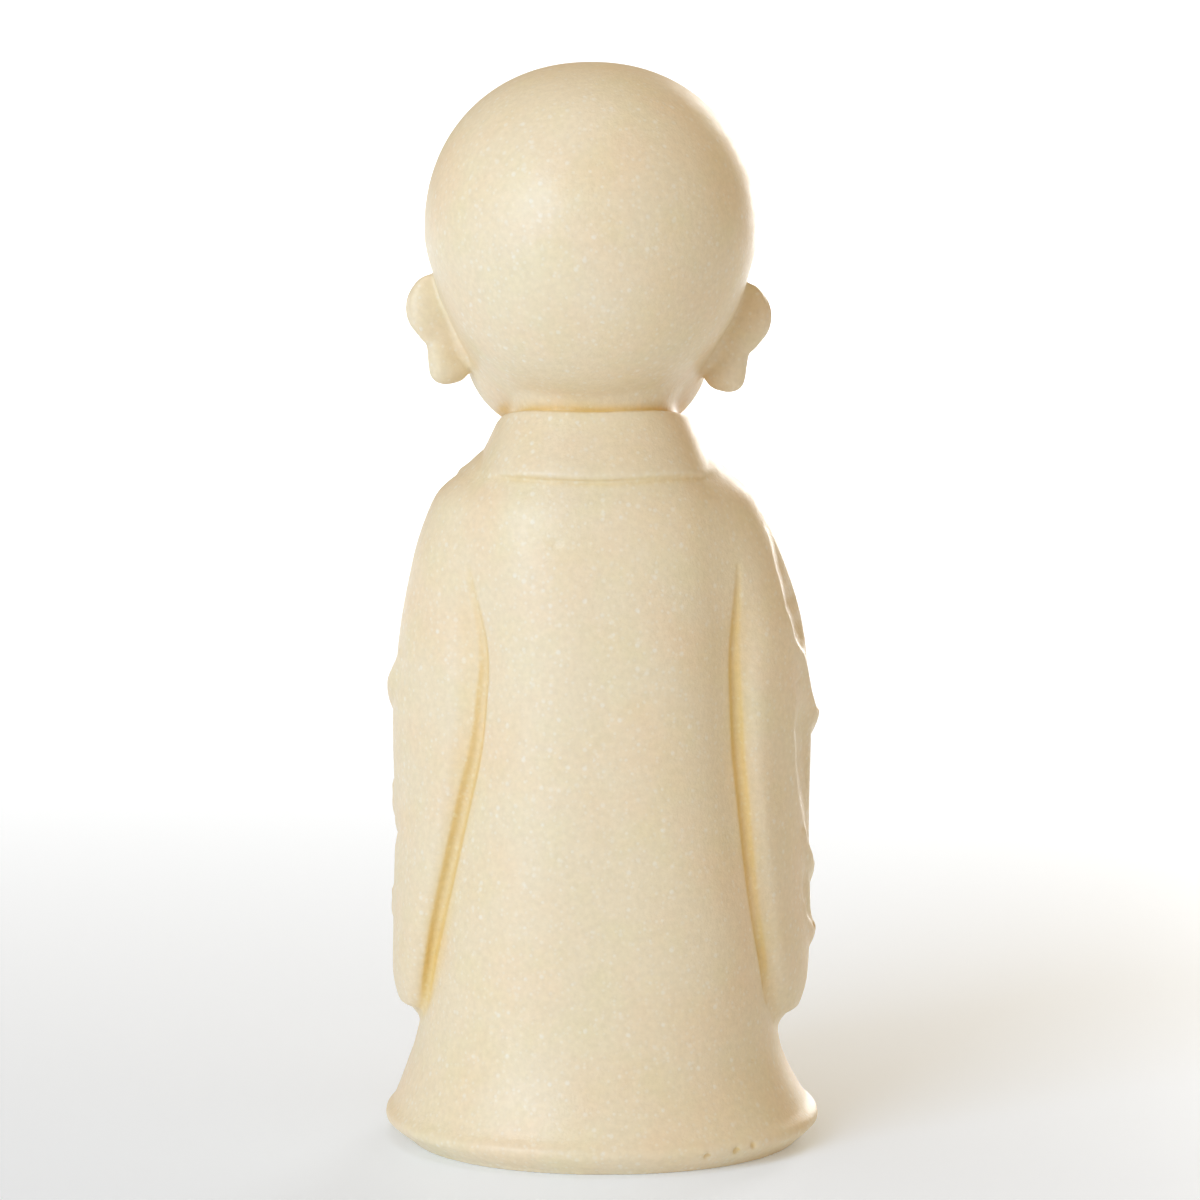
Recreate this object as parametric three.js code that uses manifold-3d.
// Praying child monk: a standing figure with a shaved head, long ears, a wide-sleeved robe and
// pressed hands, cast as one solid. Millimetres, +Z up. The face looks along -Y, the figure's left
// side is +X, and the origin is the middle of the flat underside.

import * as THREE from 'three';
import { mergeVertices } from 'three/addons/utils/BufferGeometryUtils.js';
import Module from 'manifold-3d';

const wasm = await Module();
wasm.setup();

// Driving dimensions
const CROWN_HEIGHT = 240;
const HEAD_HALF_WIDTH = 36.4;
const HEAD_HALF_DEPTH = 37.5;
const HEAD_CENTRE = new THREE.Vector3(2.4, 1.0, CROWN_HEIGHT - HEAD_HALF_WIDTH);
const HEAD_ROLL_DEG = -1.6;
const EAR_HEIGHT = 24.4;
const EAR_SPREAD_DEG = 42;
const EAR_TILT_DEG = 11;
const SHOULDER_LEAN = 1.7;
const LEAN_START = 112;
const LEAN_END = 148;
const COLLAR_THICKNESS = 3;
const SLEEVE_FOLD_RADIUS = 2.9;
const HAND_LENGTH = 33;
const HAND_THICKNESS = 5.2;
const HAND_LEAN_DEG = 10;
const WRIST = new THREE.Vector3(0, -38.5, 106);
const STONE_COLOUR = 0xe6d6b4;

// The robe's sections: height, half width, depth behind the axis, depth in front of it
const ROBE_SECTIONS = [
  [0, 45.4, 42.0, 41.2],
  [3.2, 47.9, 44.6, 43.6],
  [5.3, 48.3, 45.0, 44.0],
  [8.0, 46.9, 43.7, 42.8],
  [13, 44.0, 41.4, 40.6],
  [21, 40.9, 38.9, 38.2],
  [36, 38.6, 36.8, 36.2],
  [62, 35.2, 35.2, 33.8],
  [92, 31.6, 33.6, 31.0],
  [116, 31.0, 32.4, 28.6],
  [132, 31.6, 30.8, 26.4],
  [143, 30.6, 28.6, 24.2],
  [151, 27.0, 25.8, 21.6],
  [158, 22.0, 22.2, 19.0],
  [164, 18.4, 18.4, 16.6],
  [174, 17.0, 16.4, 15.4],
];
const ROBE_SQUARENESS = 2.3;
const ROBE_SIDES = 44;
const ROBE_LEVELS = 26;
const SKIRT_FOLDS = 9;
const SKIRT_FOLD_DEPTH = 0.035;
const SKIRT_FOLD_TOP = 95;

// One sleeve with its shoulder, for +X: height, then the plan points of its middle line from back
// to front, then its half thickness
const SLEEVE_SECTIONS = [
  [26, [38.8, 1], [39.2, -4], [38.4, -9], [36.6, -13], 1.6],
  [29, [38.6, 9], [40.6, -3], [37.2, -18], [29.0, -28.5], 3.8],
  [36, [38.4, 12.5], [41.6, -3], [37.2, -21], [25.5, -32.5], 5.0],
  [47, [37.4, 15], [41.6, -3], [36.8, -22], [23.5, -33.5], 5.4],
  [70, [34.8, 17.5], [40.6, -3], [34.8, -23], [19.5, -34.5], 6.0],
  [92, [32.4, 18.5], [39.2, -2], [32.8, -23], [16.0, -35], 7.0],
  [106, [31.4, 18], [37.6, -1], [31.0, -21], [14.5, -34.5], 7.7],
  [114, [31.0, 17], [36.6, -0.5], [31.0, -17], [19.0, -29], 8.1],
  [122, [30.3, 15.5], [34.9, 0], [31.4, -13], [26.0, -20], 8.5],
  [134, [28.0, 12.5], [31.0, 0.5], [28.6, -11], [24.5, -15], 9.0],
  [143, [24.0, 9], [26.4, 0.5], [24.5, -8], [21.5, -11], 9.2],
  [150, [19.0, 6], [20.5, 0.5], [19.0, -6], [17.0, -8], 8.6],
  [155, [14.0, 3], [14.5, 0.5], [14.0, -3], [13.0, -4], 5.0],
];
const SLEEVE_SQUARENESS = 2.4;
const SLEEVE_SIDES = 22;
const SLEEVE_LEVELS = 17;

const degrees = THREE.MathUtils.degToRad;
const UP = new THREE.Vector3(0, 0, 1);
const BACK = new THREE.Vector3(0, 1, 0);

// Smooth function through [position, value] pairs, with no overshoot
function profile(pairs) {
  const slope = pairs.map((pair, i) => {
    if (i === 0 || i === pairs.length - 1) return 0;
    const before = (pair[1] - pairs[i - 1][1]) / (pair[0] - pairs[i - 1][0]);
    const after = (pairs[i + 1][1] - pair[1]) / (pairs[i + 1][0] - pair[0]);
    return before * after > 0 ? (2 * before * after) / (before + after) : 0;
  });
  return (at) => {
    const last = pairs.length - 2;
    const next = pairs.findIndex((pair) => pair[0] > at);
    const i = next < 0 ? last : Math.max(0, next - 1);
    const span = pairs[i + 1][0] - pairs[i][0];
    const t = THREE.MathUtils.clamp((at - pairs[i][0]) / span, 0, 1);
    const rise = t * t * (3 - 2 * t);
    return pairs[i][1] * (1 - rise) + pairs[i + 1][1] * rise
      + span * t * (1 - t) * ((1 - t) * slope[i] - t * slope[i + 1]);
  };
}

// Moves every vertex of a geometry to place(vertex)
function warp(geometry, place) {
  const position = geometry.getAttribute('position');
  const vertex = new THREE.Vector3();
  for (let i = 0; i < position.count; i += 1) {
    vertex.fromBufferAttribute(position, i);
    const moved = place(vertex);
    position.setXYZ(i, moved.x, moved.y, moved.z);
  }
  return geometry;
}

function solidOf(geometry) {
  geometry.deleteAttribute('normal');
  geometry.deleteAttribute('uv');
  const merged = mergeVertices(geometry, 1e-3);
  const mesh = new wasm.Mesh({
    numProp: 3,
    vertProperties: merged.getAttribute('position').array,
    triVerts: new Uint32Array(merged.index.array),
  });
  return new wasm.Manifold(mesh);
}

function geometryOf(solid) {
  const mesh = solid.getMesh();
  return new THREE.BufferGeometry()
    .setAttribute('position', new THREE.BufferAttribute(mesh.vertProperties, 3))
    .setIndex(new THREE.BufferAttribute(mesh.triVerts, 1));
}

// The same point on the figure's other side
const mirrored = (point, side) => new THREE.Vector3(point.x * side, point.y, point.z);

// The shoulders lean a little towards +X, as the head does
function leaning(point) {
  const share = THREE.MathUtils.smoothstep(point.z, LEAN_START, LEAN_END);
  return new THREE.Vector3(point.x + SHOULDER_LEAN * share, point.y, point.z);
}

// A coordinate on a rounded square, from a coordinate on the unit circle
const squared = (value, squareness) => Math.sign(value) * Math.abs(value) ** (2 / squareness);

// Distance from the middle of a smooth lump along a direction: the furthest of several
// ellipsoids, rounded where they meet
function lumpReach(direction, lobes) {
  const sharpness = 18;
  let sum = 0;
  for (const lobe of lobes) {
    const d = direction.clone().divide(lobe.radii);
    const o = lobe.centre.clone().negate().divide(lobe.radii);
    const a = d.lengthSq();
    const b = d.dot(o);
    const root = b * b - a * (o.lengthSq() - 1);
    const reach = root > 0 ? (-b + Math.sqrt(root)) / a : 0;
    if (reach > 0) sum += reach ** sharpness;
  }
  return sum ** (1 / sharpness);
}

const lobe = (x, y, z, rx, ry, rz) => ({
  centre: new THREE.Vector3(x, y, z),
  radii: new THREE.Vector3(rx, ry, rz),
});

// A round bar along a curve, with rounded ends and a radius that changes along it
function bar(points, radii, steps, sides) {
  const curve = new THREE.CatmullRomCurve3(points);
  const frames = curve.computeFrenetFrames(steps);
  const radiusAt = profile(radii.map((radius, i) => [i / (radii.length - 1), radius]));
  const geometry = new THREE.CylinderGeometry(1, 1, 1, sides, steps);
  return warp(geometry, (vertex) => {
    const along = vertex.y + 0.5;
    const step = Math.round(along * steps);
    const endDistance = Math.min(along, 1 - along) * 2;
    const round = Math.sqrt(1 - (1 - Math.min(1, endDistance * 4)) ** 2);
    const radius = radiusAt(along) * Math.max(0.35, round);
    return curve.getPointAt(along)
      .addScaledVector(frames.normals[step], vertex.x * radius)
      .addScaledVector(frames.binormals[step], -vertex.z * radius);
  });
}

// Robe: a bell with a rolled hem and soft upright folds across its front
function robe() {
  const column = (index) => profile(ROBE_SECTIONS.map((section) => [section[0], section[index]]));
  const halfWidth = column(1);
  const depthBehind = column(2);
  const depthInFront = column(3);
  const top = ROBE_SECTIONS.at(-1)[0];
  const geometry = new THREE.CylinderGeometry(1, 1, 1, ROBE_SIDES, ROBE_LEVELS);
  return warp(geometry, (vertex) => {
    const rise = vertex.y + 0.5;
    const z = top * rise ** 1.5;
    const reach = Math.hypot(vertex.x, vertex.z);
    const cos = reach > 0 ? vertex.x / reach : 0;
    const sin = reach > 0 ? vertex.z / reach : 0;
    const depth = sin > 0 ? depthInFront(z) : depthBehind(z);
    const x = squared(cos, ROBE_SQUARENESS) * halfWidth(z);
    const y = -squared(sin, ROBE_SQUARENESS) * depth;
    const front = Math.max(0, sin) ** 2;
    const fade = THREE.MathUtils.clamp(1 - z / SKIRT_FOLD_TOP, 0, 1);
    const wave = Math.cos(Math.atan2(cos, sin) * SKIRT_FOLDS);
    const fold = 1 + SKIRT_FOLD_DEPTH * front * fade * wave;
    return leaning(new THREE.Vector3(x * fold * reach, y * fold * reach, z));
  });
}

// Sleeve: from the shoulder down, a thick hanging sheet that wraps round the robe from behind the
// side to the front
function sleeve(side) {
  const track = (column, axis) => profile(
    SLEEVE_SECTIONS.map((section) => [section[0], section[column][axis]]),
  );
  const columns = [1, 2, 3, 4].map((column) => [track(column, 0), track(column, 1)]);
  const halfThickness = profile(SLEEVE_SECTIONS.map((section) => [section[0], section[5]]));
  const bottom = SLEEVE_SECTIONS[0][0];
  const top = SLEEVE_SECTIONS.at(-1)[0];
  const geometry = new THREE.CylinderGeometry(1, 1, 1, SLEEVE_SIDES, SLEEVE_LEVELS);
  return warp(geometry, (vertex) => {
    const z = bottom + (top - bottom) * (vertex.y + 0.5);
    const plan = new THREE.CatmullRomCurve3(
      columns.map(([x, y]) => new THREE.Vector3(x(z), y(z), z)),
    );
    const along = (side * squared(vertex.x, SLEEVE_SQUARENESS) + 1) / 2;
    const tangent = plan.getTangent(THREE.MathUtils.clamp(along, 0, 1));
    const across = new THREE.Vector3(-tangent.y, tangent.x, 0);
    const offset = -squared(vertex.z, SLEEVE_SQUARENESS) * halfThickness(z);
    const point = plan.getPoint(THREE.MathUtils.clamp(along, 0, 1)).addScaledVector(across, offset);
    return leaning(mirrored(point, side));
  });
}

// Forearm under the cloth, from the elbow to the wrist
function forearm(side) {
  const points = [[35, -2, 106], [33.5, -10, 102], [26, -23, 101], [15, -33, 104], [3.5, -38, 107]];
  return bar(points.map(([x, y, z]) => new THREE.Vector3(x * side, y, z)), [10, 10.6, 10.2, 9, 6.8], 10, 12);
}

// Swags of cloth on the outside of a sleeve: each hangs from behind the side, is lowest near the
// side and rises towards the wrist
function sleeveFolds(side) {
  const lowest = side > 0 ? [101, 70, 46] : [94, 61, 46];
  return lowest.map((z, i) => {
    const points = [
      [35 + i * 1.2, 17 - i * 2, z + 32 - i * 4], [41 + i * 0.5, 9, z + 14], [45.2, -3, z + 0.5],
      [41.6 - i * 0.4, -18, z + 1], [31 - i * 0.5, -30, z + 7],
    ].map(([x, y, height]) => new THREE.Vector3(x * side, y, height));
    return bar(points, [1.2, 2.2, SLEEVE_FOLD_RADIUS, 2.4, 1.2], 9, 6);
  });
}

// A strip of cloth between two edge lines, of even thickness
function band(topEdge, bottomEdge, steps) {
  const upper = new THREE.CatmullRomCurve3(topEdge);
  const lower = new THREE.CatmullRomCurve3(bottomEdge);
  const geometry = new THREE.BoxGeometry(1, 1, 1, steps, 1, 1);
  return warp(geometry, (vertex) => {
    const along = vertex.x + 0.5;
    const high = upper.getPoint(along);
    const low = lower.getPoint(along);
    const down = low.clone().sub(high);
    const outward = down.clone().cross(upper.getTangent(along)).normalize();
    return leaning(
      high.addScaledVector(down, 0.5 - vertex.y).addScaledVector(outward, vertex.z * COLLAR_THICKNESS),
    );
  });
}

// Collar: from under the hands, over one shoulder, round the nape and down the other side
function collar(side) {
  const top = [
    [-9, -29, 116], [-2, -28, 127], [9, -23.5, 141], [17.5, -14, 153], [20.6, -1, 160], [17.6, 11, 163.4],
    [9.5, 17, 164.8], [-1, 18.6, 165],
  ];
  const bottom = [
    [-2, -30, 108], [6, -29.5, 116], [18, -25.5, 129], [26.5, -16, 142], [29.6, -2, 149.5], [25.6, 14, 150.8],
    [15, 23.4, 150.8], [-1, 26, 150.8],
  ];
  const edge = (points) => points.map(([x, y, z]) => new THREE.Vector3(x * side, y, z));
  const topEdge = side > 0 ? edge(top) : edge(top).reverse();
  const bottomEdge = side > 0 ? edge(bottom) : edge(bottom).reverse();
  return band(topEdge, bottomEdge, 16);
}

// Places a point of the head, given from the middle of the skull, in the figure
const onHead = (point) => point.applyAxisAngle(BACK, degrees(HEAD_ROLL_DEG)).add(HEAD_CENTRE);

// Head: a round skull over full cheeks and a small chin
function head() {
  const lobes = [
    lobe(0, 2, 0, HEAD_HALF_WIDTH, HEAD_HALF_DEPTH, HEAD_HALF_WIDTH),
    lobe(0, -6, -19, 29.5, 28, 26),
    lobe(11.5, -14, -29, 14.5, 15, 16),
    lobe(-11.5, -14, -29, 14.5, 15, 16),
    lobe(0, -22, -38, 9.5, 9, 8),
    lobe(0, -32, -24, 3.8, 5.2, 3.8),
    lobe(0, 5, -33, 17.5, 17, 14),
  ];
  const geometry = new THREE.SphereGeometry(1, 34, 24);
  geometry.rotateX(Math.PI / 2);
  return warp(geometry, (vertex) => {
    const direction = vertex.clone().normalize();
    return onHead(direction.clone().multiplyScalar(lumpReach(direction, lobes)));
  });
}

// Ear: a rounded upper shell and a long lobe, standing off the side of the head
function ear(side) {
  const half = EAR_HEIGHT / 2;
  const lobes = [
    lobe(0, 0.4, half * 0.3, 3, 7.4, half * 0.7),
    lobe(-0.3, -1, -half * 0.15, 2.9, 5.4, half * 0.5),
    lobe(-0.6, -2.2, -half * 0.56, 3.2, 5.6, half * 0.46),
  ];
  const middle = new THREE.Vector3(34.4, 1.5, -23);
  const geometry = new THREE.SphereGeometry(1, 12, 10);
  geometry.rotateX(Math.PI / 2);
  return warp(geometry, (vertex) => {
    const direction = mirrored(vertex, side).normalize();
    const point = direction.clone().multiplyScalar(lumpReach(direction, lobes))
      .applyAxisAngle(UP, degrees(-EAR_SPREAD_DEG))
      .applyAxisAngle(BACK, degrees(EAR_TILT_DEG))
      .add(middle);
    return onHead(mirrored(point, side));
  });
}

// One hand of the pressed pair: a palm, four fingers and a thumb, pointing up
function hand(side) {
  const lean = degrees(HAND_LEAN_DEG);
  const place = (outward, forward, up) => new THREE.Vector3(
    outward * side,
    WRIST.y - forward * Math.cos(lean) - up * Math.sin(lean),
    WRIST.z + up * Math.cos(lean) - forward * Math.sin(lean),
  );
  const half = HAND_THICKNESS / 2;
  const palm = bar(
    [place(half, 0, -2), place(half, 0.3, 7), place(half, 0.3, 18)],
    [5.4, 6.4, 5.6], 5, 10,
  );
  const palmFlat = warp(palm, (vertex) => new THREE.Vector3(
    THREE.MathUtils.lerp(half * side, vertex.x, 0.55),
    vertex.y,
    vertex.z,
  ));
  const reaches = [0.9, 1.0, 0.97, 0.84];
  const fingers = reaches.map((reach, i) => {
    const forward = (i - 1.5) * 3.2;
    const tip = place(half - 0.6, forward * 0.9, HAND_LENGTH * reach);
    return bar([place(half, forward, 13), place(half, forward, 22), tip], [2, 2, 1.7], 4, 6);
  });
  const thumbPath = [place(half, -5, 5), place(half, -6.6, 12), place(half - 0.6, -6.6, 18)];
  const thumb = bar(thumbPath, [2.2, 2.1, 1.7], 4, 6);
  return [palmFlat, ...fingers, thumb];
}

const SIDES = [1, -1];
const forms = [
  robe(),
  head(),
  ...SIDES.flatMap((side) => [
    ear(side), sleeve(side), forearm(side), collar(side), ...sleeveFolds(side), ...hand(side),
  ]),
];
const figure = forms.map(solidOf).reduce((whole, form) => whole.add(form));

const castStone = new THREE.MeshStandardMaterial({ color: STONE_COLOUR, roughness: 0.42, metalness: 0 });
const statue = new THREE.Mesh(geometryOf(figure), castStone);
statue.name = 'monk_statue';

const part = new THREE.Group();
part.add(statue);

export default part;
